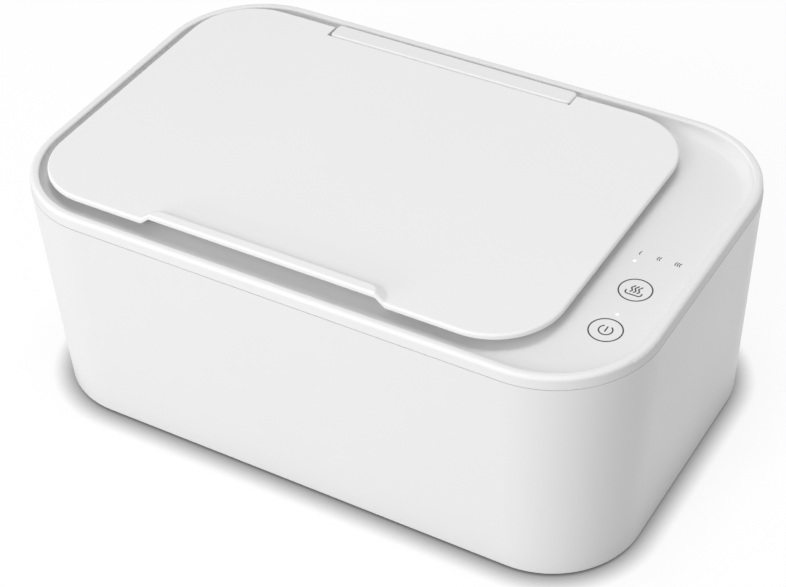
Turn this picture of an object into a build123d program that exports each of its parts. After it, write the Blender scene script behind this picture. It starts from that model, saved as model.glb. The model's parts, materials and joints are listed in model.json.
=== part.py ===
from build123d import *
import os
from math import radians, sqrt, tan

# Baby wipe warmer, in millimetres. +Z up, +X along the long front, +Y to the back.
# The origin is on the floor under the centre of the body.

# ---------------------------------------------------------------- driving dimensions

# Lid and the margins that set the body round it
lid_length = 200.0
lid_width = 134.0
lid_corner_radius = 25.0
lid_thickness = 2.2
lid_proud = 1.5  # lid top above the rim
lid_edge_radius = 0.8
lid_under_radius = 0.5
left_margin = 7.5
right_margin = 32.5  # control strip beside the lid
front_margin = 9.5
back_margin = 8.5

# Outer shell
body_corner_radius = 37.5
shell_height = 87.3
shell_wall = 2.6
side_draft = 2.49  # degrees
floor_gap = 1.0  # shell edge above the floor
shell_edge_radius = 1.0
seam_height = 0.25  # shadow groove between shell and cover
seam_depth = 1.2

# Top cover
rim_height = 4.7
rim_draft = 6.0  # degrees, the cover's outer wall leaning in
rim_width = 3.6
rim_edge_radius = 1.5
rim_inner_radius = 0.8
deck_recess = 5.0  # deck below the rim top
deck_cove_radius = 4.0
deck_thickness = 2.4
skirt_drop = 2.6
skirt_wall = 1.6
collar_height = 2.0
collar_wall = 3.2
neck_drop = 6.0
neck_wall = 2.4

# Wipe opening, set back from the lid's edges
opening_side_ledge = 9.0
opening_front_ledge = 12.0
opening_back_ledge = 14.0
opening_corner_radius = 16.0

# Base
foot_standout = 1.4
foot_radius = 8.0
foot_pocket = 1.2
foot_inset = 30.0  # foot centre in from the body's sides
base_thickness = 2.6
base_rebate = 1.4  # shell lip left outside the base plate
base_rib_height = 4.6
base_rib_wall = 1.8
base_rib_count = 4

# Wipe tub and its heater
tub_wall = 2.0
tub_draft = 1.5  # degrees
tub_floor = 2.0
tub_floor_radius = 5.0
tub_flange = 2.0
tub_flange_lip = 0.8
gasket_height = 0.8
plate_thickness = 1.0
plate_inset = 7.0
film_thickness = 0.4
film_inset = 3.0
pad_thickness = 5.0
pad_window_length = 34.0
pad_window_width = 18.0
pad_window_radius = 3.0
fuse_radius = 1.9
fuse_length = 11.0
sensor_radius = 1.5
sensor_length = 6.0
sensor_spacing = 9.0

# Hinge
hinge_bar_length = 101.3
hinge_bar_width = 8.1
hinge_bar_proud = 0.1  # bar top above the lid top
hinge_bar_corner_radius = 2.0  # its corners seen from above
hinge_bar_edge_radius = 1.0  # round its top
pivot_back = 1.95  # pivot in from the lid's back edge
pivot_drop = 2.0  # pivot below the lid top
knuckle_radius = 1.9
knuckle_length = 8.0
pin_radius = 1.0
pin_in_bar = 6.0
pin_in_knuckle = 7.0

# Grip lip at the front of the lid
grip_length = 96.0
grip_reach = 7.3  # from the front edge back to the foot of its wall
grip_rise = 3.0
grip_lean = 50.0  # degrees, its wall from the vertical
grip_corner_radius = 7.0
grip_edge_radius = 1.2
grip_foot_radius = 1.5

# Lid inner panel and seal
plug_clearance = 1.5
plug_wall = 1.6
plug_drop = 5.9  # plug bottom below the lid plate
plug_flange = 1.0
plug_edge_radius = 1.0
panel_counterbore = 0.6
seal_cover = 3.6  # how far the seal reaches over the collar
lid_boss_inset = 12.0
lid_rib_gap = 0.5
lid_rib_wall = 1.5

# Control strip
key_offset = 13.2  # touch keys from the lid's right edge
power_key_y = -38.3
heat_key_y = -15.8
power_dot_y = -29.6
level_dot_y = -2.1
level_dot_pitch = 6.7
key_pad_radius = 4.6
guide_radius = 1.1
guide_skin = 0.6  # deck left above each light guide
guide_web = 1.2
led_length = 1.6
led_width = 1.0
led_height = 0.7
board_thickness = 1.6
board_corner_radius = 3.0
control_board_drop = 5.0
control_board_length = 58.0
control_board_end_y = 10.0
board_clearance = 1.0

# Power board, in the end bay beside the tub
power_board_length = 64.0
power_board_lift = 6.0
power_board_width = 26.0
board_edge = 1.5  # parts kept in from a board's edge
capacitor_radius = 5.0
capacitor_height = 14.0
connector_length = 10.0
connector_width = 5.0
connector_height = 6.0
chip_length = 9.0
chip_height = 1.4

# Power inlet, in the back wall
inlet_offset = 54.0  # in from the body's right end
inlet_lift = 9.0
inlet_width = 8.9
inlet_height = 3.2
inlet_depth = 7.4
inlet_shell = 0.3
inlet_set_back = 0.6  # inlet mouth behind the outer wall
inlet_board_length = 22.0
inlet_board_depth = 9.0

# Bosses and fasteners
boss_radius = 3.4
small_boss_radius = 2.6
ear_overlap = 0.6  # how far a tub screw's ear runs into the neck
lug_rim = 1.0  # lug beyond the boss that stands on it
base_boss_height = 16.0
boss_wall_gap = 5.9  # boss centre in from the shell's inner wall
cover_boss_drop = 11.6
lug_thickness = 3.0
gusset_width = 2.4
screw_radius = 1.4
screw_length = 10.0
screw_head_radius = 2.7
screw_head_height = 1.5
small_screw_radius = 1.0
small_screw_length = 5.0
small_head_radius = 1.9
small_head_height = 1.1
wire_radius = 0.8
wire_pitch = 4.0
lead_tab_width = 12.0
lead_tab_reach = 11.0  # heating film's tab beyond its edge
cable_radius = 1.2
cable_bend = 6.0
ribbon_width = 9.0
ribbon_thickness = 0.7

# Clearances
fit_gap = 0.15  # between seated mouldings
screw_gap = 0.25  # round a screw in its clearance hole
pilot_gap = 0.02  # between a screw or pin and the boss it is driven into
running_gap = 0.05  # hinge pin in its knuckle, on the radius
hinge_end_gap = 0.6
hinge_front_gap = 0.65
seal_gap = 0.3  # lid seal above the collar
light_gap = 0.1
inlet_gap = 0.5  # round the inlet in the wall
board_wall_gap = 1.0
sensor_gap = 0.05

upright = 0.01  # a normal's rise below which a face counts as upright, and above its remainder as level

# ---------------------------------------------------------------- derived sizes

body_length = left_margin + lid_length + right_margin
body_width = front_margin + lid_width + back_margin
seam_z = floor_gap + shell_height
rim_top_z = seam_z + rim_height
deck_z = rim_top_z - deck_recess
deck_under_z = deck_z - deck_thickness
skirt_bottom_z = deck_under_z - skirt_drop
collar_top_z = deck_z + collar_height
neck_bottom_z = deck_under_z - neck_drop

base_bottom_z = foot_standout
base_top_z = base_bottom_z + base_thickness
pad_bottom_z = base_top_z + base_rib_height
film_bottom_z = pad_bottom_z + pad_thickness
plate_bottom_z = film_bottom_z + film_thickness
tub_bottom_z = plate_bottom_z + plate_thickness
flange_top_z = neck_bottom_z - gasket_height
flange_under_z = flange_top_z - tub_flange

lid_x = left_margin - body_length / 2 + lid_length / 2
lid_y = front_margin - body_width / 2 + lid_width / 2
lid_top_z = rim_top_z + lid_proud
lid_under_z = lid_top_z - lid_thickness
lid_front_y = lid_y - lid_width / 2
lid_back_y = lid_y + lid_width / 2
lid_right_x = lid_x + lid_length / 2
panel_flange_z = lid_under_z - plug_flange
seal_height = panel_flange_z - collar_top_z - seal_gap
plug_bottom_z = lid_under_z - plug_drop

opening_length = lid_length - 2 * opening_side_ledge
opening_width = lid_width - opening_front_ledge - opening_back_ledge
opening_y = lid_y + (opening_front_ledge - opening_back_ledge) / 2
opening_right_x = lid_x + opening_length / 2

pivot_y = lid_back_y - pivot_back
pivot_z = lid_top_z - pivot_drop
bar_top_z = lid_top_z + hinge_bar_proud
bar_front_y = pivot_y - hinge_bar_width / 2
bar_left_x = lid_x - hinge_bar_length / 2
bar_right_x = lid_x + hinge_bar_length / 2

key_x = lid_right_x + key_offset
inlet_x = body_length / 2 - inlet_offset


def inset_at(z, inset=0.0):
    """How far in from the widest outline the body's outer wall is at height z, plus an inset."""
    return (seam_z - z) * tan(radians(side_draft)) + inset


def body_outline(inset):
    """Rounded plan outline of the body, moved in by an inset."""
    RectangleRounded(body_length - 2 * inset, body_width - 2 * inset, body_corner_radius - inset)


def opening_outline(outset, mode=Mode.ADD):
    """Rounded plan outline of the wipe opening, moved out by an outset."""
    length = opening_length + 2 * outset
    width = opening_width + 2 * outset
    with Locations((lid_x, opening_y)):
        RectangleRounded(length, width, opening_corner_radius + outset, mode=mode)


def corner_places(inner_inset):
    """Four boss centres, one in each rounded corner of a wall that is moved in by an inset."""
    reach = (body_corner_radius - inner_inset - boss_wall_gap) / sqrt(2)
    half_x = body_length / 2 - body_corner_radius + reach
    half_y = body_width / 2 - body_corner_radius + reach
    return [(-half_x, -half_y), (half_x, -half_y), (half_x, half_y), (-half_x, half_y)]


corner_angles = [225, 315, 45, 135]
base_screw_places = corner_places(inset_at(base_top_z, shell_wall))
lug_top_z = deck_under_z - cover_boss_drop
cover_screw_places = corner_places(inset_at(lug_top_z, shell_wall))

tub_ear_out = neck_wall + boss_radius - ear_overlap
tub_half_x = opening_length / 2 + tub_ear_out
tub_half_y = opening_width / 2 + tub_ear_out
tub_screw_places = [
    (lid_x + side * tub_half_x, opening_y + end * opening_width / 4) for side in (-1, 1) for end in (-1, 1)
] + [(lid_x, opening_y + end * tub_half_y) for end in (-1, 1)]

foot_x = body_length / 2 - foot_inset
foot_y = body_width / 2 - foot_inset
foot_places = [(sx * foot_x, sy * foot_y) for sx in (-1, 1) for sy in (-1, 1)]


def screws(places, seat_z, small=False, down=False):
    """Pan head screws, one at each place, with the heads seated at seat_z and the shanks up or down."""
    radius = small_screw_radius if small else screw_radius
    length = small_screw_length if small else screw_length
    head_radius = small_head_radius if small else screw_head_radius
    head_height = small_head_height if small else screw_head_height
    turn = 180 if down else 0
    with BuildPart() as group:
        with Locations(*[Location((x, y, seat_z), (turn, 0, 0)) for x, y in places]):
            Cylinder(radius, length, align=(Align.CENTER, Align.CENTER, Align.MIN))
            Cylinder(head_radius, head_height, align=(Align.CENTER, Align.CENTER, Align.MAX))
        chamfer(group.faces().group_by(Axis.Z)[-1 if down else 0].edges(), head_height / 3)
    return group


def save(builder, name):
    """Label a finished piece and write its file."""
    builder.part.label = name
    export_step(builder.part, f"parts/{name}.step")


os.makedirs("parts", exist_ok=True)

# ---------------------------------------------------------------- outer shell

with BuildPart() as shell_bosses:
    with BuildSketch(Plane.XY.offset(base_top_z)):
        with Locations(*base_screw_places):
            Circle(boss_radius)
        for place, angle in zip(base_screw_places, corner_angles):
            with Locations(place):
                Rectangle(
                    boss_wall_gap + shell_wall,
                    gusset_width,
                    rotation=angle,
                    align=(Align.MIN, Align.CENTER),
                )
    extrude(amount=base_boss_height)
    with BuildSketch(Plane.XY.offset(lug_top_z)):
        with Locations(*cover_screw_places):
            Circle(boss_radius + lug_rim)
        for place, angle in zip(cover_screw_places, corner_angles):
            with Locations(place):
                Rectangle(
                    boss_wall_gap + shell_wall,
                    2 * (boss_radius + lug_rim),
                    rotation=angle,
                    align=(Align.MIN, Align.CENTER),
                )
    extrude(amount=-lug_thickness)
    with BuildSketch(Plane.XY.offset(seam_z)):
        body_outline(shell_wall / 2)
    extrude(amount=-shell_height, taper=side_draft, mode=Mode.INTERSECT)

with BuildPart() as outer_shell:
    with BuildSketch(Plane.XY.offset(seam_z)):
        body_outline(0)
    extrude(amount=-shell_height, taper=side_draft)
    fillet(outer_shell.faces().sort_by(Axis.Z)[0].edges(), shell_edge_radius)
    with BuildSketch(Plane.XY.offset(seam_z)):
        body_outline(shell_wall)
    extrude(amount=-shell_height, taper=side_draft, mode=Mode.SUBTRACT)
    add(shell_bosses.part)
    with BuildSketch(Plane.XY.offset(base_top_z)):
        body_outline(inset_at(base_top_z, base_rebate))
    extrude(amount=floor_gap - base_top_z, taper=side_draft, mode=Mode.SUBTRACT)
    with Locations(*[Location((x, y, base_top_z), (180, 0, 0)) for x, y in base_screw_places]):
        Hole(screw_radius + pilot_gap, screw_length)
    with Locations(*[(x, y, lug_top_z) for x, y in cover_screw_places]):
        Hole(screw_radius + screw_gap, lug_thickness)
    inlet_face = Plane(origin=(inlet_x, body_width / 2, inlet_lift), x_dir=(-1, 0, 0), z_dir=(0, 1, 0))
    with BuildSketch(inlet_face):
        SlotOverall(inlet_width + 2 * inlet_gap, inlet_height + 2 * inlet_gap)
    extrude(amount=-2 * (inset_at(inlet_lift) + shell_wall), mode=Mode.SUBTRACT)
save(outer_shell, "outer_shell")

# ---------------------------------------------------------------- base plate and feet

base_inset = inset_at(base_bottom_z, base_rebate + fit_gap)
rib_length = opening_width - 2 * plate_inset
rib_span = opening_length - 4 * plate_inset
power_board_x = (opening_right_x + body_length / 2 - shell_wall) / 2 + board_wall_gap
board_post_x = power_board_width / 2 - small_boss_radius
board_post_y = power_board_length / 2 - small_boss_radius
board_post_places = [
    (power_board_x + sx * board_post_x, sy * board_post_y) for sx in (-1, 1) for sy in (-1, 1)
]
power_board_z = base_top_z + power_board_lift
shell_back_y = body_width / 2 - inset_at(inlet_lift, shell_wall)
inlet_board_z = inlet_lift - inlet_height / 2 - board_thickness
inlet_board_y = shell_back_y - board_wall_gap - inlet_board_depth / 2
inlet_post_x = inlet_board_length / 2 - small_boss_radius
inlet_post_places = [(inlet_x + side * inlet_post_x, inlet_board_y) for side in (-1, 1)]
board_pilot_depth = small_screw_length - board_thickness + fit_gap

with BuildPart() as base_plate:
    with BuildSketch(Plane.XY.offset(base_bottom_z)):
        body_outline(base_inset)
    extrude(amount=base_thickness)
    with BuildSketch(Plane.XY.offset(base_top_z)):
        with Locations((lid_x, opening_y)):
            with GridLocations(rib_span / (base_rib_count - 1), 0, base_rib_count, 1):
                Rectangle(base_rib_wall, rib_length)
            with GridLocations(0, rib_length - base_rib_wall, 1, 2):
                Rectangle(rib_span + base_rib_wall, base_rib_wall)
    extrude(amount=base_rib_height)
    with BuildSketch(Plane.XY.offset(base_top_z)):
        with Locations(*board_post_places):
            Circle(small_boss_radius)
    extrude(amount=power_board_lift)
    with BuildSketch(Plane.XY.offset(base_top_z)):
        with Locations(*inlet_post_places):
            Circle(small_boss_radius)
    extrude(amount=inlet_board_z - base_top_z)
    with BuildSketch(Plane.XY.offset(base_bottom_z)):
        with Locations(*foot_places):
            Circle(foot_radius + fit_gap)
    extrude(amount=foot_pocket, mode=Mode.SUBTRACT)
    with Locations(*[Location((x, y, base_bottom_z), (180, 0, 0)) for x, y in base_screw_places]):
        CounterBoreHole(screw_radius + screw_gap, screw_head_radius + screw_gap, screw_head_height)
    with Locations(*[(x, y, power_board_z) for x, y in board_post_places]):
        Hole(small_screw_radius + pilot_gap, board_pilot_depth)
    with Locations(*[(x, y, inlet_board_z) for x, y in inlet_post_places]):
        Hole(small_screw_radius + pilot_gap, board_pilot_depth)
save(base_plate, "base_plate")

with BuildPart() as rubber_feet:
    with BuildSketch():
        with Locations(*foot_places):
            Circle(foot_radius)
    extrude(amount=base_bottom_z + foot_pocket)
    chamfer(rubber_feet.faces().group_by(Axis.Z)[0].edges(), foot_standout / 3)
save(rubber_feet, "rubber_feet")

save(screws(base_screw_places, base_bottom_z + screw_head_height), "base_screws")
save(screws(cover_screw_places, lug_top_z - lug_thickness), "cover_screws")

# ---------------------------------------------------------------- top cover

skirt_inset = inset_at(skirt_bottom_z, shell_wall + fit_gap)
control_board_z = deck_under_z - control_board_drop - board_thickness
control_left_x = opening_right_x + tub_ear_out + boss_radius + board_clearance
control_right_x = body_length / 2 - skirt_inset - skirt_wall - board_clearance
control_board_x = (control_left_x + control_right_x) / 2
control_board_width = control_right_x - control_left_x
control_board_y = control_board_end_y - control_board_length / 2
control_post_x = control_board_width / 2 - small_boss_radius
control_post_y = control_board_length / 2 - small_boss_radius
control_post_places = [
    (control_board_x - control_post_x, control_board_y - control_post_y),
    (control_board_x - control_post_x, control_board_y + control_post_y),
    (control_board_x + control_post_x, control_board_y + control_post_y),
]
dot_places = [(key_x, power_dot_y)] + [(key_x + step * level_dot_pitch, level_dot_y) for step in (-1, 0, 1)]
guide_top_z = deck_z - guide_skin

with BuildPart() as top_cover:
    with BuildSketch(Plane.XY.offset(seam_z + seam_height)):
        body_outline(0)
    extrude(amount=rim_height - seam_height, taper=rim_draft)
    fillet(top_cover.faces().sort_by(Axis.Z)[-1].edges(), rim_edge_radius)
    with BuildSketch(Plane.XY.offset(seam_z)):
        body_outline(seam_depth)
    extrude(amount=seam_height)
    with BuildSketch(Plane.XY.offset(seam_z)):
        body_outline(skirt_inset)
    extrude(amount=skirt_bottom_z - seam_z)
    with BuildSketch(Plane.XY.offset(skirt_bottom_z)):
        body_outline(skirt_inset + skirt_wall)
    extrude(amount=skirt_drop, mode=Mode.SUBTRACT)
    with BuildSketch(Plane.XY.offset(rim_top_z)):
        body_outline(rim_width)
    extrude(amount=-deck_recess, mode=Mode.SUBTRACT)
    fillet(top_cover.faces(Select.LAST).filter_by(Axis.Z).sort_by(Axis.Z)[0].edges(), deck_cove_radius)
    fillet(top_cover.faces().filter_by(Axis.Z).sort_by(Axis.Z)[-1].inner_wires()[0].edges(), rim_inner_radius)
    with BuildSketch(Plane.XY.offset(collar_top_z)):
        opening_outline(collar_wall)
    extrude(amount=-collar_height)
    fillet(top_cover.faces(Select.LAST).filter_by(Axis.Z).sort_by(Axis.Z)[-1].edges(), collar_wall / 4)
    with BuildSketch(Plane.XY.offset(deck_under_z)):
        opening_outline(neck_wall)
        with Locations(*tub_screw_places):
            Circle(boss_radius)
    extrude(amount=-neck_drop)
    with BuildSketch(Plane.XY.offset(collar_top_z)):
        opening_outline(0)
    extrude(amount=neck_bottom_z - collar_top_z, mode=Mode.SUBTRACT)
    with BuildSketch(Plane.XY.offset(deck_under_z)):
        with Locations(*cover_screw_places):
            Circle(boss_radius)
    extrude(amount=-cover_boss_drop)
    with BuildSketch(Plane.XY.offset(deck_under_z)):
        with Locations(*control_post_places):
            Circle(small_boss_radius)
    extrude(amount=-control_board_drop)
    with BuildSketch(Plane.XY.offset(bar_top_z)):
        with Locations((lid_x, pivot_y)):
            RectangleRounded(hinge_bar_length, hinge_bar_width, hinge_bar_corner_radius)
    extrude(amount=deck_z - deck_thickness / 2 - bar_top_z)
    fillet(top_cover.faces(Select.LAST).sort_by(Axis.Z)[-1].edges(), hinge_bar_edge_radius)
    with Locations(Location((bar_left_x, pivot_y, pivot_z), (0, -90, 0))):
        Hole(pin_radius + pilot_gap, pin_in_bar)
    with Locations(Location((bar_right_x, pivot_y, pivot_z), (0, 90, 0))):
        Hole(pin_radius + pilot_gap, pin_in_bar)
    with Locations(*[Location((x, y, neck_bottom_z), (180, 0, 0)) for x, y in tub_screw_places]):
        Hole(small_screw_radius + pilot_gap, small_screw_length)
    with Locations(*[Location((x, y, lug_top_z), (180, 0, 0)) for x, y in cover_screw_places]):
        Hole(screw_radius + pilot_gap, screw_length)
    control_post_end_z = deck_under_z - control_board_drop
    with Locations(*[Location((x, y, control_post_end_z), (180, 0, 0)) for x, y in control_post_places]):
        Hole(small_screw_radius + pilot_gap, control_board_drop)
    with Locations(*[Location((x, y, deck_under_z), (180, 0, 0)) for x, y in dot_places]):
        Hole(guide_radius + light_gap, guide_top_z - deck_under_z)
save(top_cover, "top_cover")

# ---------------------------------------------------------------- wipe tub

tub_height = flange_top_z - tub_bottom_z

with BuildPart() as inner_tub:
    with BuildSketch(Plane.XY.offset(flange_top_z)):
        opening_outline(tub_wall)
    extrude(amount=-tub_height, taper=tub_draft)
    fillet(inner_tub.faces().sort_by(Axis.Z)[0].edges(), tub_floor_radius + tub_wall / 2)
    with BuildSketch(Plane.XY.offset(flange_top_z)):
        opening_outline(neck_wall + tub_flange_lip)
        with Locations(*tub_screw_places):
            Circle(boss_radius)
    extrude(amount=-tub_flange)
    with BuildSketch(Plane.XY.offset(flange_top_z)):
        opening_outline(0)
    extrude(amount=tub_floor - tub_height, taper=tub_draft, mode=Mode.SUBTRACT)
    fillet(inner_tub.faces(Select.LAST).filter_by(Axis.Z).sort_by(Axis.Z)[0].edges(), tub_floor_radius)
    with Locations(*[(x, y, flange_top_z) for x, y in tub_screw_places]):
        Hole(small_screw_radius + screw_gap, tub_flange + gasket_height)
save(inner_tub, "inner_tub")

with BuildPart() as tub_gasket:
    with BuildSketch(Plane.XY.offset(flange_top_z)):
        opening_outline(neck_wall)
        opening_outline(0, mode=Mode.SUBTRACT)
    extrude(amount=gasket_height)
save(tub_gasket, "tub_gasket")

save(screws(tub_screw_places, flange_under_z, small=True), "tub_screws")

# ---------------------------------------------------------------- heater under the tub

with BuildPart() as heater_plate:
    with BuildSketch(Plane.XY.offset(plate_bottom_z)):
        opening_outline(-plate_inset)
    extrude(amount=plate_thickness)
save(heater_plate, "heater_plate")

film_right_x = opening_right_x - plate_inset - film_inset
with BuildPart() as heating_film:
    with BuildSketch(Plane.XY.offset(film_bottom_z)):
        opening_outline(-plate_inset - film_inset)
        with Locations((film_right_x, opening_y)):
            Rectangle(2 * lead_tab_reach, lead_tab_width)
    extrude(amount=film_thickness)
save(heating_film, "heating_film")

with BuildPart() as insulation_pad:
    with BuildSketch(Plane.XY.offset(pad_bottom_z)):
        opening_outline(-plate_inset)
        with Locations((lid_x, opening_y)):
            RectangleRounded(pad_window_length, pad_window_width, pad_window_radius, mode=Mode.SUBTRACT)
    extrude(amount=pad_thickness)
save(insulation_pad, "insulation_pad")

with BuildPart() as thermal_fuse:
    fuse_z = film_bottom_z - fuse_radius - sensor_gap
    with Locations(Location((lid_x, opening_y + sensor_spacing / 2, fuse_z), (0, 90, 0))):
        Cylinder(fuse_radius, fuse_length)
    chamfer(thermal_fuse.edges().filter_by(GeomType.CIRCLE), fuse_radius / 3)
save(thermal_fuse, "thermal_fuse")

with BuildPart() as thermistor:
    sensor_z = film_bottom_z - sensor_radius - sensor_gap
    with Locations(Location((lid_x, opening_y - sensor_spacing / 2, sensor_z), (0, 90, 0))):
        Cylinder(sensor_radius, sensor_length)
    chamfer(thermistor.edges().filter_by(GeomType.CIRCLE), sensor_radius / 3)
save(thermistor, "thermistor")

# ---------------------------------------------------------------- boards, inlet and wiring

power_board_top_z = power_board_z + board_thickness
board_left_x = power_board_x - power_board_width / 2
heater_plug_x = board_left_x + board_edge + connector_width / 2
ribbon_x = power_board_x + board_post_x - small_head_radius - board_clearance - connector_width / 2
chip_x = ribbon_x - connector_width / 2 - board_clearance - chip_length / 2
ribbon_y = (power_key_y + heat_key_y) / 2
inlet_plug_y = power_board_length / 2 - board_edge - connector_width / 2
cable_x = heater_plug_x + connector_width

with BuildPart() as power_board:
    with BuildSketch(Plane.XY.offset(power_board_z)):
        with Locations((power_board_x, 0)):
            RectangleRounded(power_board_width, power_board_length, board_corner_radius)
    extrude(amount=board_thickness)
    with Locations(*[(x, y, power_board_top_z) for x, y in board_post_places]):
        Hole(small_screw_radius + screw_gap, board_thickness)
save(power_board, "power_board")

with BuildPart() as board_parts:
    with BuildSketch(Plane.XY.offset(power_board_top_z)):
        with Locations((heater_plug_x, opening_y)):
            Rectangle(connector_width, connector_length)
        with Locations((ribbon_x, ribbon_y)):
            Rectangle(connector_width, connector_length)
        with Locations((cable_x, inlet_plug_y)):
            Rectangle(connector_length / 2, connector_width)
    extrude(amount=connector_height)
    with BuildSketch(Plane.XY.offset(power_board_top_z)):
        with Locations((power_board_x + capacitor_radius / 2, connector_length)):
            Circle(capacitor_radius)
    extrude(amount=capacitor_height)
    fillet(board_parts.edges().group_by(Axis.Z)[-1], capacitor_radius / 8)
    with BuildSketch(Plane.XY.offset(power_board_top_z)):
        with Locations((chip_x, -power_board_length / 4 - connector_length)):
            Rectangle(chip_length, chip_length)
    extrude(amount=chip_height)
save(board_parts, "board_parts")

with BuildPart() as inlet_board:
    with BuildSketch(Plane.XY.offset(inlet_board_z)):
        with Locations((inlet_x, inlet_board_y)):
            RectangleRounded(inlet_board_length, inlet_board_depth, board_thickness)
    extrude(amount=board_thickness)
    with Locations(*[(x, y, inlet_board_z + board_thickness) for x, y in inlet_post_places]):
        Hole(small_screw_radius + screw_gap, board_thickness)
save(inlet_board, "inlet_board")

with BuildPart() as board_screws:
    add(screws(board_post_places, power_board_top_z, small=True, down=True).part)
    add(screws(inlet_post_places, inlet_board_z + board_thickness, small=True, down=True).part)
save(board_screws, "board_screws")

inlet_mouth_y = body_width / 2 - inset_at(inlet_lift) - inlet_set_back
with BuildPart() as power_inlet:
    inlet_mouth = Plane(origin=(inlet_x, inlet_mouth_y, inlet_lift), x_dir=(-1, 0, 0), z_dir=(0, 1, 0))
    with BuildSketch(inlet_mouth):
        SlotOverall(inlet_width, inlet_height)
    extrude(amount=-inlet_depth)
    with BuildSketch(inlet_mouth):
        SlotOverall(inlet_width - 2 * inlet_shell, inlet_height - 2 * inlet_shell)
    extrude(amount=inlet_shell - inlet_depth, mode=Mode.SUBTRACT)
    with BuildSketch(inlet_mouth.offset(-inlet_set_back)):
        Rectangle(inlet_width - inlet_height, inlet_shell * 2)
    extrude(amount=inlet_set_back - inlet_depth)
save(power_inlet, "power_inlet")

cable_z = inlet_board_z + board_thickness + cable_radius
cable_plug_z = power_board_top_z + connector_height / 2
cable_start_y = inlet_board_y - inlet_board_depth / 2 + cable_radius
cable_end_y = inlet_plug_y + connector_width / 2
cable_start_x = inlet_x + inlet_width / 2 + cable_radius
with BuildPart() as inlet_cable:
    with BuildLine() as cable_route:
        FilletPolyline(
            (cable_start_x, cable_start_y, cable_z),
            (cable_x, cable_start_y, cable_z),
            (cable_x, (cable_start_y + cable_end_y) / 2, cable_plug_z),
            (cable_x, cable_end_y, cable_plug_z),
            radius=cable_bend,
        )
    with BuildSketch(Plane(cable_route.wires()[0] @ 0, z_dir=cable_route.wires()[0] % 0)):
        Circle(cable_radius)
    sweep()
save(inlet_cable, "inlet_cable")

lead_start_x = film_right_x + lead_tab_reach / 2
with BuildPart() as heater_leads:
    with BuildSketch(Plane.YZ.offset(lead_start_x)):
        with Locations((opening_y, film_bottom_z - wire_radius)):
            with GridLocations(wire_pitch, 0, 2, 1):
                Circle(wire_radius)
    extrude(amount=heater_plug_x - connector_width / 2 - lead_start_x)
save(heater_leads, "heater_leads")

with BuildPart() as control_board:
    with BuildSketch(Plane.XY.offset(control_board_z)):
        with Locations((control_board_x, control_board_y)):
            RectangleRounded(control_board_width, control_board_length, board_corner_radius)
    extrude(amount=board_thickness)
    with Locations(*[(x, y, control_board_z + board_thickness) for x, y in control_post_places]):
        Hole(small_screw_radius + screw_gap, board_thickness)
save(control_board, "control_board")

save(screws(control_post_places, control_board_z, small=True), "control_board_screws")

with BuildPart() as control_parts:
    with BuildSketch(Plane.XY.offset(control_board_z)):
        with Locations((ribbon_x, ribbon_y)):
            Rectangle(connector_width, connector_length)
    extrude(amount=-connector_height)
    with BuildSketch(Plane.XY.offset(control_board_z)):
        with Locations((control_board_x, level_dot_y - chip_length / 2)):
            Rectangle(chip_length, chip_length)
    extrude(amount=-chip_height)
save(control_parts, "control_parts")

with BuildPart() as panel_ribbon:
    ribbon_bottom_z = power_board_top_z + connector_height
    with BuildSketch(Plane.XY.offset(ribbon_bottom_z)):
        with Locations((ribbon_x, ribbon_y)):
            Rectangle(ribbon_thickness, ribbon_width)
    extrude(amount=control_board_z - connector_height - ribbon_bottom_z)
save(panel_ribbon, "panel_ribbon")

with BuildPart() as touch_pads:
    with BuildSketch(Plane.XY.offset(control_board_z + board_thickness)):
        with Locations((key_x, power_key_y), (key_x, heat_key_y)):
            Circle(key_pad_radius)
    extrude(amount=control_board_drop)
save(touch_pads, "touch_pads")

led_top_z = control_board_z + board_thickness + led_height
with BuildPart() as indicator_leds:
    with BuildSketch(Plane.XY.offset(control_board_z + board_thickness)):
        with Locations(*dot_places):
            Rectangle(led_length, led_width)
    extrude(amount=led_height)
save(indicator_leds, "indicator_leds")

guide_bottom_z = led_top_z + light_gap
guide_web_z = deck_under_z - guide_web
with BuildPart() as light_guides:
    with BuildSketch(Plane.XY.offset(guide_bottom_z)):
        with Locations(*dot_places):
            Circle(guide_radius)
    extrude(amount=guide_top_z - guide_bottom_z)
    with BuildSketch(Plane.XY.offset(guide_web_z)):
        with Locations((key_x, level_dot_y)):
            SlotCenterToCenter(2 * level_dot_pitch, 2 * guide_radius + guide_web)
        with Locations((key_x, power_dot_y)):
            Circle(guide_radius + guide_web)
    extrude(amount=guide_web)
save(light_guides, "light_guides")

# ---------------------------------------------------------------- lid cover

notch_left_x = bar_left_x - hinge_end_gap
notch_right_x = bar_right_x + hinge_end_gap
notch_y = bar_front_y - hinge_front_gap
rib_out = seal_cover + lid_rib_gap + lid_rib_wall
lid_boss_x = opening_length / 2 - plug_clearance - lid_boss_inset
lid_boss_y = opening_width / 2 - plug_clearance - lid_boss_inset
lid_boss_places = [(lid_x + sx * lid_boss_x, opening_y + sy * lid_boss_y) for sx in (-1, 1) for sy in (-1, 1)]


def lid_outline():
    """Rounded plan outline of the lid."""
    with Locations((lid_x, lid_y)):
        RectangleRounded(lid_length, lid_width, lid_corner_radius)


def grip_outline():
    """Plan outline of the grip at the foot of its wall, running on in front of the lid."""
    with Locations((lid_x, lid_front_y)):
        RectangleRounded(grip_length, 2 * grip_reach, grip_corner_radius)


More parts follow.
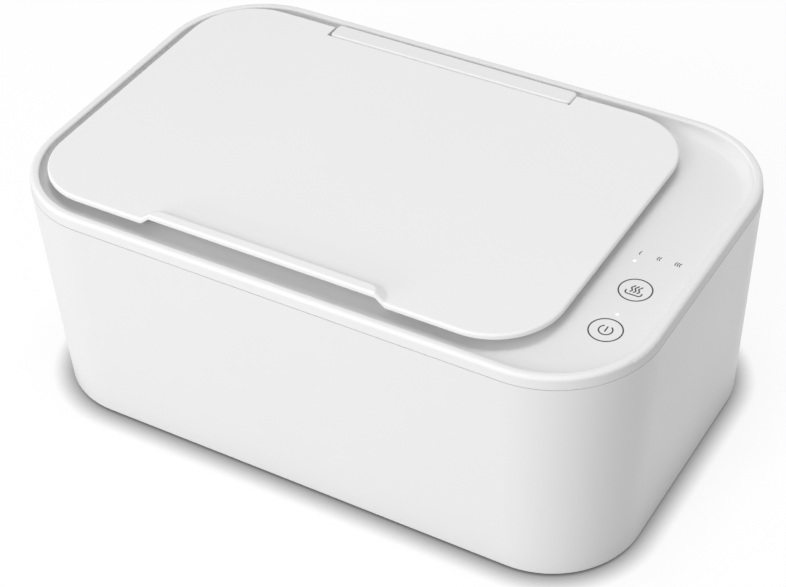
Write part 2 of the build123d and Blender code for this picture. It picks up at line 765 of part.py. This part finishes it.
with BuildPart() as lid_cover:
    with BuildSketch(Plane.XY.offset(lid_under_z)):
        lid_outline()
    extrude(amount=lid_thickness)
    with BuildSketch(Plane.XY.offset(lid_top_z)):
        grip_outline()
    extrude(amount=grip_rise, taper=grip_lean)
    with BuildSketch(Plane.XY.offset(lid_under_z)):
        grip_outline()
    extrude(amount=grip_rise, taper=grip_lean, mode=Mode.SUBTRACT)
    with BuildSketch(Plane.XY.offset(lid_under_z)):
        lid_outline()
    extrude(amount=lid_thickness + grip_rise, mode=Mode.INTERSECT)
    # The grip's foot and edge are rounded above and below, then the lid's rim on both sides.
    for side in (1, -1):
        for level, radius in ((0, grip_foot_radius), (-1, grip_edge_radius)):
            skin = lid_cover.faces().filter_by(lambda face: side * face.normal_at().Z > upright)
            flats = skin.filter_by(Axis.Z).sort_by(Axis.Z)
            walls = skin.filter_by(lambda face: side * face.normal_at().Z < 1 - upright)
            fillet(flats[level].edges() & walls.edges(), radius)
    for side, radius in ((1, lid_edge_radius), (-1, lid_under_radius)):
        rim = lid_cover.faces().filter_by(lambda face: abs(face.normal_at().Z) < upright)
        skin = lid_cover.faces().filter_by(lambda face: side * face.normal_at().Z > upright)
        fillet(rim.edges() & skin.edges(), radius)
    with BuildSketch(Plane.XY.offset(panel_flange_z)):
        opening_outline(rib_out)
        opening_outline(rib_out - lid_rib_wall, mode=Mode.SUBTRACT)
    extrude(amount=plug_flange + lid_thickness / 2)
    with Locations((lid_x, notch_y, lid_under_z)):
        Box(
            notch_right_x - notch_left_x,
            lid_back_y - notch_y,
            lid_thickness,
            align=(Align.CENTER, Align.MIN, Align.MIN),
            mode=Mode.SUBTRACT,
        )
    for knuckle_x, reach in ((notch_left_x, -knuckle_length), (notch_right_x, knuckle_length)):
        with BuildSketch(Plane.YZ.offset(knuckle_x)):
            with Locations((pivot_y, pivot_z)):
                Circle(knuckle_radius)
        extrude(amount=reach)
    with Locations(*[Location((x, pivot_y, pivot_z), (0, 90, 0)) for x in (notch_left_x, notch_right_x)]):
        Hole(pin_radius + running_gap, knuckle_length)
    with BuildSketch(Plane.XY.offset(lid_under_z)):
        with Locations(*lid_boss_places):
            Circle(small_boss_radius)
    extrude(amount=plug_wall - plug_drop)
    with Locations(*[Location((x, y, plug_bottom_z + plug_wall), (180, 0, 0)) for x, y in lid_boss_places]):
        Hole(small_screw_radius + pilot_gap, plug_drop - plug_wall)
save(lid_cover, "lid_cover")

# ---------------------------------------------------------------- lid inner panel, seal and pins

with BuildPart() as lid_inner_panel:
    with BuildSketch(Plane.XY.offset(lid_under_z)):
        opening_outline(-plug_clearance)
    extrude(amount=-plug_drop)
    fillet(lid_inner_panel.faces().sort_by(Axis.Z)[0].edges(), plug_edge_radius)
    with BuildSketch(Plane.XY.offset(lid_under_z)):
        opening_outline(seal_cover)
    extrude(amount=-plug_flange)
    with BuildSketch(Plane.XY.offset(lid_under_z)):
        opening_outline(-plug_clearance - plug_wall)
    extrude(amount=plug_wall - plug_drop, mode=Mode.SUBTRACT)
    with Locations(*[Location((x, y, plug_bottom_z), (180, 0, 0)) for x, y in lid_boss_places]):
        CounterBoreHole(small_screw_radius + screw_gap, small_head_radius + screw_gap, panel_counterbore)
save(lid_inner_panel, "lid_inner_panel")

save(screws(lid_boss_places, plug_bottom_z + panel_counterbore, small=True), "lid_screws")

with BuildPart() as lid_seal:
    with BuildSketch(Plane.XY.offset(panel_flange_z)):
        opening_outline(seal_cover)
        opening_outline(fit_gap - plug_clearance, mode=Mode.SUBTRACT)
    extrude(amount=-seal_height)
save(lid_seal, "lid_seal")

with BuildPart() as hinge_pins:
    pin_length = pin_in_bar + hinge_end_gap + pin_in_knuckle
    with Locations(Location((bar_left_x + pin_in_bar, pivot_y, pivot_z), (0, -90, 0))):
        Cylinder(pin_radius, pin_length, align=(Align.CENTER, Align.CENTER, Align.MIN))
    with Locations(Location((bar_right_x - pin_in_bar, pivot_y, pivot_z), (0, 90, 0))):
        Cylinder(pin_radius, pin_length, align=(Align.CENTER, Align.CENTER, Align.MIN))
save(hinge_pins, "hinge_pins")
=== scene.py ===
import json
import math

import bmesh
import bpy
from mathutils import Matrix, Vector


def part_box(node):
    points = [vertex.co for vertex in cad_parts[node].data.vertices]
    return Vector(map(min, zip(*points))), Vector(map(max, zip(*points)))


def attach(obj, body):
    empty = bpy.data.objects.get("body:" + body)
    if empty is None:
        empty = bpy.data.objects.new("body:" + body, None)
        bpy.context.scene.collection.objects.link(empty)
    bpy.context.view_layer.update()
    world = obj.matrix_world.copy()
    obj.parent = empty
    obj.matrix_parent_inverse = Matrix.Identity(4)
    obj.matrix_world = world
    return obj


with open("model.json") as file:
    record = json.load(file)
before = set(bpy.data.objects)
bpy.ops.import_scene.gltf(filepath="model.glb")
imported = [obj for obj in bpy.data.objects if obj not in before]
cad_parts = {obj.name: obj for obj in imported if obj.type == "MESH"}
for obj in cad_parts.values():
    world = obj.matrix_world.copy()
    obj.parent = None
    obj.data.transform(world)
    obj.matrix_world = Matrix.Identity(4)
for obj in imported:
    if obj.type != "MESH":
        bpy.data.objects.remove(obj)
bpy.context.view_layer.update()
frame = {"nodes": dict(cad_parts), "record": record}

MM = 0.001
MICRON = 0.001 * MM

# ---------------------------------------------------------------- places, from the frame and the part's sizes

PADS_LOW, PADS_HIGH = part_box("touch_pads")
LEDS_LOW, LEDS_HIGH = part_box("indicator_leds")
KEY_PAD_RADIUS = 4.6 * MM
LED_LENGTH = 1.6 * MM
LED_WIDTH = 1.0 * MM
RIM_TOP_Z = 93.0 * MM
DECK_RECESS = 5.0 * MM

DECK_Z = RIM_TOP_Z - DECK_RECESS
KEY_X = (PADS_LOW[0] + PADS_HIGH[0]) / 2
POWER_KEY_Y = PADS_LOW[1] + KEY_PAD_RADIUS
HEAT_KEY_Y = PADS_HIGH[1] - KEY_PAD_RADIUS
POWER_DOT = (KEY_X, LEDS_LOW[1] + LED_WIDTH / 2)
LEVEL_DOT = (LEDS_LOW[0] + LED_LENGTH / 2, LEDS_HIGH[1] - LED_WIDTH / 2)

# ---------------------------------------------------------------- camera

CAMERA_POSITION = Vector((0.30567, -0.49858, 0.52122))
CAMERA_AZIMUTH = math.radians(-31.67)  # from +Y towards +X
CAMERA_ELEVATION = math.radians(39.674)  # how far it looks down
CAMERA_ROLL = math.radians(-2.559)
CAMERA_LENS = 94.93
SENSOR_WIDTH = 36.0
CLIP_START = 0.01


def make_camera():
    """The camera at the viewing angle of the photograph."""
    forward = Vector(
        (
            math.sin(CAMERA_AZIMUTH) * math.cos(CAMERA_ELEVATION),
            math.cos(CAMERA_AZIMUTH) * math.cos(CAMERA_ELEVATION),
            -math.sin(CAMERA_ELEVATION),
        )
    )
    level_right = Vector((math.cos(CAMERA_AZIMUTH), -math.sin(CAMERA_AZIMUTH), 0.0))
    level_up = level_right.cross(forward)
    right = level_right * math.cos(CAMERA_ROLL) + level_up * math.sin(CAMERA_ROLL)
    up = level_up * math.cos(CAMERA_ROLL) - level_right * math.sin(CAMERA_ROLL)
    data = bpy.data.cameras.new("camera")
    data.lens = CAMERA_LENS
    data.sensor_width = SENSOR_WIDTH
    data.sensor_fit = "HORIZONTAL"
    data.clip_start = CLIP_START
    camera = bpy.data.objects.new("camera", data)
    turn = Matrix((right, up, -forward)).transposed()
    camera.matrix_world = Matrix.Translation(CAMERA_POSITION) @ turn.to_4x4()
    bpy.context.collection.objects.link(camera)
    bpy.context.scene.camera = camera


# ---------------------------------------------------------------- material parts

NOISE_LOW, NOISE_HIGH = 0.3, 0.7  # nearly all of a noise lies between these
NOISE_DETAIL = 2.0
DRIFT_SCALE = 18.0  # slow colour drift in a moulding
SHEEN_SCALE = 45.0  # uneven sheen of a moulding
SHEEN_SPREAD = 0.08
SHEEN_DETAIL = 4.0
GRAIN_DETAIL = 3.0
COAT_ROUGHNESS = 0.2
METAL_SCALE = 400.0
METAL_DETAIL = 4.0
METAL_DRIFT = 0.06
METAL_GRAIN = 10.0 * MICRON
POLISH_SPREAD = 0.2
RUBBER_SCALE = 60.0
RUBBER_DETAIL = 4.0
RUBBER_DRIFT = 0.04
INK_SCALE = 900.0
INK_DRIFT = 0.05
INK_ROUGHNESS = 0.55
GLOW_SCALE = 600.0
GLOW_DRIFT = 0.02


def grey(level):
    """A colour with no hue."""
    return (level, level, level)


def new_material(name):
    """A material, its node tree and its shader."""
    material = bpy.data.materials.new(name)
    material.use_nodes = True
    tree = material.node_tree
    return material, tree, tree.nodes["Principled BSDF"]


def place_on_object(tree, texture, stretch=None):
    """Feeds a texture the object's own coordinates, which may be stretched."""
    place = tree.nodes.new("ShaderNodeTexCoord").outputs["Object"]
    if stretch:
        mapping = tree.nodes.new("ShaderNodeMapping")
        mapping.inputs["Scale"].default_value = stretch
        tree.links.new(place, mapping.inputs["Vector"])
        place = mapping.outputs["Vector"]
    tree.links.new(place, texture.inputs["Vector"])


def noise(tree, scale, detail=NOISE_DETAIL, stretch=None):
    """The value of a noise texture on the object."""
    texture = tree.nodes.new("ShaderNodeTexNoise")
    texture.inputs["Scale"].default_value = scale
    texture.inputs["Detail"].default_value = detail
    place_on_object(tree, texture, stretch)
    return texture.outputs["Fac"]


def cells(tree, scale):
    """The distance from the middle of the nearest cell of a cellular texture on the object."""
    texture = tree.nodes.new("ShaderNodeTexVoronoi")
    texture.inputs["Scale"].default_value = scale
    place_on_object(tree, texture)
    return texture.outputs["Distance"]


def color_mix(tree, factor, first, second):
    """A blend from one colour to another by a factor socket."""
    mix = tree.nodes.new("ShaderNodeMix")
    mix.data_type = "RGBA"
    mix.inputs["A"].default_value = (*first, 1.0)
    mix.inputs["B"].default_value = (*second, 1.0)
    tree.links.new(factor, mix.inputs["Factor"])
    return mix.outputs["Result"]


def tinted(tree, shader, source, color, drift):
    """Colours the shader with a base colour that drifts by a share of itself."""
    darker = [channel * (1 - drift) for channel in color]
    lighter = [min(1.0, channel * (1 + drift)) for channel in color]
    tree.links.new(color_mix(tree, source, darker, lighter), shader.inputs["Base Color"])


def roughened(tree, shader, source, roughness, spread):
    """Varies the shader's roughness by a share of itself."""
    mapper = tree.nodes.new("ShaderNodeMapRange")
    mapper.inputs["From Min"].default_value = NOISE_LOW
    mapper.inputs["From Max"].default_value = NOISE_HIGH
    mapper.inputs["To Min"].default_value = roughness * (1 - spread)
    mapper.inputs["To Max"].default_value = roughness * (1 + spread)
    tree.links.new(source, mapper.inputs["Value"])
    tree.links.new(mapper.outputs["Result"], shader.inputs["Roughness"])


def bumped(tree, shader, source, depth):
    """Raises a fine grain on the surface, depth in metres."""
    bump = tree.nodes.new("ShaderNodeBump")
    bump.inputs["Strength"].default_value = 1.0
    bump.inputs["Distance"].default_value = depth
    tree.links.new(source, bump.inputs["Height"])
    tree.links.new(bump.outputs["Normal"], shader.inputs["Normal"])


def moulded(name, color, roughness, grain, depth, drift=0.01, coat=0.0, specular=0.5):
    """Injection moulded plastic: slow colour drift, uneven sheen and a fine grain."""
    material, tree, shader = new_material(name)
    tinted(tree, shader, noise(tree, DRIFT_SCALE), color, drift)
    roughened(tree, shader, noise(tree, SHEEN_SCALE, SHEEN_DETAIL), roughness, SHEEN_SPREAD)
    bumped(tree, shader, noise(tree, grain, GRAIN_DETAIL), depth)
    shader.inputs["Specular IOR Level"].default_value = specular
    shader.inputs["Coat Weight"].default_value = coat
    shader.inputs["Coat Roughness"].default_value = COAT_ROUGHNESS
    return material


def metal(name, color, roughness, stretch=(1.0, 1.0, 1.0)):
    """Metal with a fine grain, which may run in one direction."""
    material, tree, shader = new_material(name)
    grain = noise(tree, METAL_SCALE, METAL_DETAIL, stretch)
    tinted(tree, shader, grain, color, METAL_DRIFT)
    roughened(tree, shader, grain, roughness, POLISH_SPREAD)
    bumped(tree, shader, grain, METAL_GRAIN)
    shader.inputs["Metallic"].default_value = 1.0
    return material


def soft(name, color, roughness, grain, depth):
    """Rubber, silicone or foam with a cellular grain."""
    material, tree, shader = new_material(name)
    tinted(tree, shader, noise(tree, RUBBER_SCALE, RUBBER_DETAIL), color, RUBBER_DRIFT)
    bumped(tree, shader, cells(tree, grain), depth)
    shader.inputs["Roughness"].default_value = roughness
    return material


def printed(name, color):
    """Matt printing ink."""
    material, tree, shader = new_material(name)
    tinted(tree, shader, noise(tree, INK_SCALE), color, INK_DRIFT)
    shader.inputs["Roughness"].default_value = INK_ROUGHNESS
    return material


def glowing(name, color, strength):
    """A lit indicator behind a white diffuser."""
    material, tree, shader = new_material(name)
    tinted(tree, shader, noise(tree, GLOW_SCALE), color, GLOW_DRIFT)
    shader.inputs["Emission Color"].default_value = (*color, 1.0)
    shader.inputs["Emission Strength"].default_value = strength
    return material


# ---------------------------------------------------------------- light and floor

LAMP_AIM = Vector((0.0, 0.0, 0.06))
LAMPS = (  # name, place, size and watts
    ("top", (0.0, 0.0, 1.6), (0.6, 0.6), 7.4),
    ("left", (-0.85, -1.90, 0.35), (1.2, 0.5), 15.0),
    ("front", (-0.1, -1.78, 1.17), (1.0, 0.7), 12.7),
    ("side", (0.36, 0.30, 0.12), (0.15, 0.15), 0.14),
)
WORLD_STRENGTH = 0.54
FLOOR_SIZE = 12.0
FLOOR_ROUGHNESS = 0.9
FLOOR_SEEN = 0.97  # the floor's colour as the camera sees it
FLOOR_BOUNCE = 0.42  # and as it lights the object
FLOOR_GLOW = 0.82  # share of the floor's look that is a white glow, dimmed near the object into a painted contact shadow
PAINTED_SHADOW_REACH = 8.5 * MM  # how far the painted contact shadow spreads
PAINTED_SHADOW_DEPTH = 1.8  # and how much darker it gets towards the object


def area_light(name, place, size, watts):
    """A softbox aimed at the object."""
    data = bpy.data.lights.new(name, "AREA")
    data.shape = "RECTANGLE"
    data.size, data.size_y = size
    data.energy = watts
    lamp = bpy.data.objects.new(name, data)
    lamp.location = place
    lamp.rotation_euler = (Vector(place) - LAMP_AIM).to_track_quat("Z", "Y").to_euler()
    lamp.visible_camera = False
    bpy.context.collection.objects.link(lamp)


def make_light():
    """A softbox straight overhead, two in front, a small one behind the right side and an even sky."""
    for lamp in LAMPS:
        area_light(*lamp)
    world = bpy.data.worlds.new("sky")
    world.use_nodes = True
    background = world.node_tree.nodes["Background"]
    background.inputs["Color"].default_value = (*grey(1.0), 1.0)
    background.inputs["Strength"].default_value = WORLD_STRENGTH
    bpy.context.scene.world = world


def math_node(tree, operation, first, second):
    """A math node with two inputs, each a socket or a number."""
    node = tree.nodes.new("ShaderNodeMath")
    node.operation = operation
    for index, value in enumerate((first, second)):
        if isinstance(value, float):
            node.inputs[index].default_value = value
        else:
            tree.links.new(value, node.inputs[index])
    return node.outputs["Value"]


def make_floor():
    """A plain floor that looks near white and keeps a light real shadow; its white glow is dimmed where the
    object touches it, a painted contact shadow.
    """
    bpy.ops.mesh.primitive_plane_add(size=FLOOR_SIZE)
    floor = bpy.context.object
    floor.name = "floor"
    material, tree, shader = new_material("floor_white")
    path = tree.nodes.new("ShaderNodeLightPath")
    seen = math_node(tree, "MAXIMUM", path.outputs["Is Camera Ray"], path.outputs["Is Glossy Ray"])
    seen = math_node(tree, "MAXIMUM", seen, path.outputs["Is Transmission Ray"])
    tree.links.new(color_mix(tree, seen, grey(FLOOR_BOUNCE), grey(FLOOR_SEEN)), shader.inputs["Base Color"])
    shader.inputs["Roughness"].default_value = FLOOR_ROUGHNESS
    shader.inputs["Specular IOR Level"].default_value = 0.0
    # painted contact shadow: ambient occlusion dims the floor's white glow close to the object
    painted_shadow_ao = tree.nodes.new("ShaderNodeAmbientOcclusion")
    painted_shadow_ao.inputs["Distance"].default_value = PAINTED_SHADOW_REACH
    white = tree.nodes.new("ShaderNodeEmission")
    tree.links.new(math_node(tree, "POWER", painted_shadow_ao.outputs["AO"], PAINTED_SHADOW_DEPTH), white.inputs["Strength"])
    mix = tree.nodes.new("ShaderNodeMixShader")
    tree.links.new(math_node(tree, "MULTIPLY", seen, FLOOR_GLOW), mix.inputs["Fac"])
    tree.links.new(shader.outputs["BSDF"], mix.inputs[1])
    tree.links.new(white.outputs["Emission"], mix.inputs[2])
    tree.links.new(mix.outputs["Shader"], tree.nodes["Material Output"].inputs["Surface"])
    floor.data.materials.append(material)


# ---------------------------------------------------------------- materials of the record's slots

MOULDINGS = {
    "shell_white": dict(color=grey(0.80), roughness=0.34, grain=2200.0, depth=4.0 * MICRON, coat=0.1),
    "cover_white": dict(color=grey(0.785), roughness=0.55, grain=2200.0, depth=4.0 * MICRON, specular=0.22),
    "lid_white": dict(color=grey(0.81), roughness=0.62, grain=2600.0, depth=6.0 * MICRON, specular=0.22),
    "tub_white": dict(color=(0.74, 0.74, 0.73), roughness=0.4, grain=1500.0, depth=6.0 * MICRON),
    "base_grey": dict(color=grey(0.52), roughness=0.55, grain=1400.0, depth=20.0 * MICRON, drift=0.02),
    "film_amber": dict(
        color=(0.55, 0.26, 0.05), roughness=0.25, grain=900.0, depth=10.0 * MICRON, drift=0.05
    ),
    "board_green": dict(
        color=(0.03, 0.17, 0.07), roughness=0.35, grain=1200.0, depth=10.0 * MICRON, drift=0.08
    ),
    "dark_plastic": dict(color=grey(0.02), roughness=0.5, grain=1500.0, depth=10.0 * MICRON, drift=0.1),
    "clear_plastic": dict(color=(0.75, 0.78, 0.8), roughness=0.1, grain=1200.0, depth=2.0 * MICRON),
}
METALS = {
    "steel": dict(color=(0.56, 0.56, 0.57), roughness=0.3),
    "aluminium": dict(color=(0.78, 0.78, 0.79), roughness=0.35, stretch=(1.0, 30.0, 1.0)),
}
SOFT_PARTS = {
    "silicone": dict(color=(0.60, 0.60, 0.59), roughness=0.45, grain=900.0, depth=10.0 * MICRON),
    "foot_rubber": dict(color=grey(0.10), roughness=0.75, grain=700.0, depth=30.0 * MICRON),
    "foam": dict(color=(0.16, 0.16, 0.155), roughness=0.9, grain=500.0, depth=100.0 * MICRON),
    "wire_white": dict(color=(0.7, 0.7, 0.68), roughness=0.5, grain=1200.0, depth=10.0 * MICRON),
    "wire_black": dict(color=grey(0.02), roughness=0.5, grain=1200.0, depth=10.0 * MICRON),
}
LIT_PARTS = {
    "led_white": dict(color=(0.95, 0.95, 0.9), strength=0.3),
}


def make_materials():
    """One material for each of the record's slots."""
    kinds = ((moulded, MOULDINGS), (metal, METALS), (soft, SOFT_PARTS), (glowing, LIT_PARTS))
    return {slot: make(slot, **finish) for make, finishes in kinds for slot, finish in finishes.items()}


def dress_nodes(materials):
    """Every CAD node takes the material of its slot."""
    for part in frame["record"]["subparts"]:
        node = frame["nodes"][part["node"]]
        material = materials[part["material_slot"]]
        if not node.material_slots:
            node.data.materials.append(material)
        for slot in node.material_slots:
            slot.material = material


# ---------------------------------------------------------------- printed marks and indicator dots

INK_COLOR = grey(0.05)
PRINT_LIFT = 0.03 * MM
RING_RADIUS = 5.6 * MM
RING_LINE = 0.48 * MM
RING_STEPS = 96
ICON_LINE = 0.48 * MM
POWER_ARC_RADIUS = 2.3 * MM
POWER_ARC_STEPS = 48
POWER_GAP = math.radians(32)  # half the gap at the top of the standby sign
POWER_BAR = (-0.9 * MM, 1.9 * MM)
WAVE_LENGTH = 2.6 * MM
WAVE_SWING = 0.36 * MM
WAVE_PHASE = math.radians(-35)
WAVE_PITCH = 1.25 * MM
WAVE_LOW = -1.5 * MM
WAVE_HIGH = 2.25 * MM
WAVE_STEPS = 20
TRAY_HALF = 2.8 * MM
TRAY_TOP = -0.9 * MM
TRAY_BASE = -2.65 * MM
TRAY_CORNER = 0.9 * MM
TRAY_CORNER_STEPS = 8
LEVEL_COUNT = 3
LEVEL_PITCH = 6.8 * MM
LEVEL_ICON_UP = 4.7 * MM
LEVEL_WAVE_HALF = 1.0 * MM
LEVEL_WAVE_SWING = -0.18 * MM
LEVEL_WAVE_PITCH = 0.78 * MM
LEVEL_WAVE_STEPS = 12
LEVEL_LINE = 0.32 * MM
DOT_COLOR = grey(1.0)
DOT_GLOW = 1.1
DOT_RADIUS = 0.5 * MM
DOT_HEIGHT = 0.12 * MM
DOT_STEPS = 24
DOT_RINGS = 6


def ribbon(mesh, points, width, closed=False):
    """Adds a flat printed line of some width through 2-D points, its top a print's lift above the deck."""
    count = len(points)
    rows = []
    for index, point in enumerate(points):
        before = points[index - 1] if closed or index > 0 else point
        after = points[(index + 1) % count] if closed or index < count - 1 else point
        along = (Vector(after) - Vector(before)).normalized()
        across = Vector((-along.y, along.x)) * (width / 2)
        left = Vector(point) + across
        right = Vector(point) - across
        rows.append(
            [
                mesh.verts.new((left.x, left.y, DECK_Z)),
                mesh.verts.new((left.x, left.y, DECK_Z + PRINT_LIFT)),
                mesh.verts.new((right.x, right.y, DECK_Z + PRINT_LIFT)),
                mesh.verts.new((right.x, right.y, DECK_Z)),
            ]
        )
    steps = count if closed else count - 1
    for index in range(steps):
        here = rows[index]
        there = rows[(index + 1) % count]
        for corner in range(len(here)):
            other = (corner + 1) % len(here)
            mesh.faces.new((here[corner], here[other], there[other], there[corner]))
    if not closed:
        mesh.faces.new(rows[0])
        mesh.faces.new(list(reversed(rows[-1])))


def arc(center, radius, start, end, steps):
    """Points along an arc, angles in radians from +X."""
    turns = [start + (end - start) * step / steps for step in range(steps + 1)]
    return [(center[0] + radius * math.cos(turn), center[1] + radius * math.sin(turn)) for turn in turns]


def circle(center, radius, steps):
    """Points round a circle, the first not repeated."""
    return arc(center, radius, 0.0, 2 * math.pi, steps)[:-1]


def wave(x, low, high, swing, steps):
    """Points along a rising wave of steam."""
    points = []
    for step in range(steps + 1):
        y = low + (high - low) * step / steps
        turn = 2 * math.pi * (y - low) / WAVE_LENGTH + WAVE_PHASE
        points.append((x + swing * math.sin(turn), y))
    return points


def add_piece(name, mesh, material):
    """Makes an object of a mesh, riding on the housing."""
    bmesh.ops.recalc_face_normals(mesh, faces=mesh.faces)
    data = bpy.data.meshes.new(name)
    mesh.to_mesh(data)
    mesh.free()
    data.materials.append(material)
    piece = bpy.data.objects.new(name, data)
    bpy.context.collection.objects.link(piece)
    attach(piece, "housing")
    return piece


def make_power_key(ink):
    """The power key: a ring round a standby sign."""
    center = (KEY_X, POWER_KEY_Y)
    mesh = bmesh.new()
    ribbon(mesh, circle(center, RING_RADIUS, RING_STEPS), RING_LINE, closed=True)
    start = math.pi / 2 + POWER_GAP
    end = math.pi / 2 + 2 * math.pi - POWER_GAP
    ribbon(mesh, arc(center, POWER_ARC_RADIUS, start, end, POWER_ARC_STEPS), ICON_LINE)
    ribbon(mesh, [(KEY_X, POWER_KEY_Y + y) for y in POWER_BAR], ICON_LINE)
    add_piece("power_key_print", mesh, ink)


def make_heat_key(ink):
    """The heat key: a ring round three waves of steam over a tray."""
    mesh = bmesh.new()
    ribbon(mesh, circle((KEY_X, HEAT_KEY_Y), RING_RADIUS, RING_STEPS), RING_LINE, closed=True)
    for step in (-1, 0, 1):
        x = KEY_X + step * WAVE_PITCH
        line = wave(x, HEAT_KEY_Y + WAVE_LOW, HEAT_KEY_Y + WAVE_HIGH, WAVE_SWING, WAVE_STEPS)
        ribbon(mesh, line, ICON_LINE)
    left_x = KEY_X - TRAY_HALF
    right_x = KEY_X + TRAY_HALF
    top_y = HEAT_KEY_Y + TRAY_TOP
    bend_y = HEAT_KEY_Y + TRAY_BASE + TRAY_CORNER
    left = arc((left_x + TRAY_CORNER, bend_y), TRAY_CORNER, math.pi, 1.5 * math.pi, TRAY_CORNER_STEPS)
    right = arc((right_x - TRAY_CORNER, bend_y), TRAY_CORNER, -0.5 * math.pi, 0.0, TRAY_CORNER_STEPS)
    ribbon(mesh, [(left_x, top_y), *left, *right, (right_x, top_y)], ICON_LINE)
    add_piece("heat_key_print", mesh, ink)


def make_level_marks(ink):
    """Small level signs with one, two and three waves."""
    mesh = bmesh.new()
    y = LEVEL_DOT[1] + LEVEL_ICON_UP
    for level in range(LEVEL_COUNT):
        middle = LEVEL_DOT[0] + level * LEVEL_PITCH
        for index in range(level + 1):
            x = middle + (index - level / 2) * LEVEL_WAVE_PITCH
            line = wave(x, y - LEVEL_WAVE_HALF, y + LEVEL_WAVE_HALF, LEVEL_WAVE_SWING, LEVEL_WAVE_STEPS)
            ribbon(mesh, line, LEVEL_LINE)
    add_piece("level_prints", mesh, ink)


def dome(mesh, center):
    """Adds a low dome on the deck: rings of points that close in to its top, and a flat base."""
    rings = []
    for ring in range(DOT_RINGS):
        rise = math.pi / 2 * ring / DOT_RINGS
        z = DECK_Z + DOT_HEIGHT * math.sin(rise)
        points = circle(center, DOT_RADIUS * math.cos(rise), DOT_STEPS)
        rings.append([mesh.verts.new((x, y, z)) for x, y in points])
    top = mesh.verts.new((*center, DECK_Z + DOT_HEIGHT))
    for index in range(DOT_STEPS):
        after = (index + 1) % DOT_STEPS
        for lower, upper in zip(rings, rings[1:]):
            mesh.faces.new((lower[index], lower[after], upper[after], upper[index]))
        mesh.faces.new((rings[-1][index], rings[-1][after], top))
    mesh.faces.new(list(reversed(rings[0])))


def make_dots(glow):
    """The two lit indicators, small domes of light on the deck."""
    mesh = bmesh.new()
    dome(mesh, POWER_DOT)
    dome(mesh, LEVEL_DOT)
    piece = add_piece("indicator_dots", mesh, glow)
    piece.data.shade_smooth()


# ---------------------------------------------------------------- the scene

make_camera()
make_light()
make_floor()
dress_nodes(make_materials())
dark_ink = printed("dark_ink", INK_COLOR)
make_power_key(dark_ink)
make_heat_key(dark_ink)
make_level_marks(dark_ink)
make_dots(glowing("dot_light", DOT_COLOR, DOT_GLOW))

bpy.context.scene.view_settings.view_transform = "Standard"
